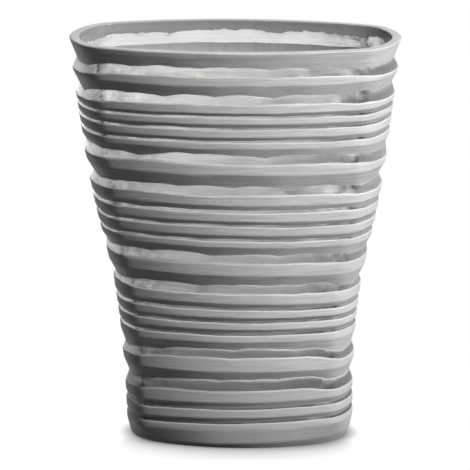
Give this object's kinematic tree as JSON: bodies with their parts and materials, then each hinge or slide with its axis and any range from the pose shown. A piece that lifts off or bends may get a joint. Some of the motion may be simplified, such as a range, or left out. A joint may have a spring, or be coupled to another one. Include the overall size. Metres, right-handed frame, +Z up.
{
  "type": "urn vase",
  "caption": "Tall oval vase that tapers from a wide ground rim to a flat base, in clear glass cased with smoke grey and cut all round into satin rings.",
  "frame": {"origin": "middle of the flat base, on the surface that the vase stands on", "axes": "+Z up through the mouth, X along the long way of the oval, Y along the short way, front face towards -Y"},
  "size_m": [0.2398, 0.1438, 0.2965],
  "materials": {
    "clear_glass": "satin",
    "smoke_glass": "satin"
  },
  "bodies": {
    "root": {"clear_vessel": "clear_glass", "rim_band": "smoke_glass", "broad_band_1": "smoke_glass", "broad_band_2": "smoke_glass", "broad_band_3": "smoke_glass", "broad_band_4": "smoke_glass", "shoulder_band_1": "smoke_glass", "shoulder_band_2": "smoke_glass", "shoulder_band_3": "smoke_glass", "shoulder_band_4": "smoke_glass", "slim_band_1": "smoke_glass", "slim_band_2": "smoke_glass", "slim_band_3": "smoke_glass", "slim_band_4": "smoke_glass", "slim_band_5": "smoke_glass", "slim_band_6": "smoke_glass", "slim_band_7": "smoke_glass", "slim_band_8": "smoke_glass", "slim_band_9": "smoke_glass", "slim_band_10": "smoke_glass", "foot_band": "smoke_glass"}
  },
  "joints": []
}
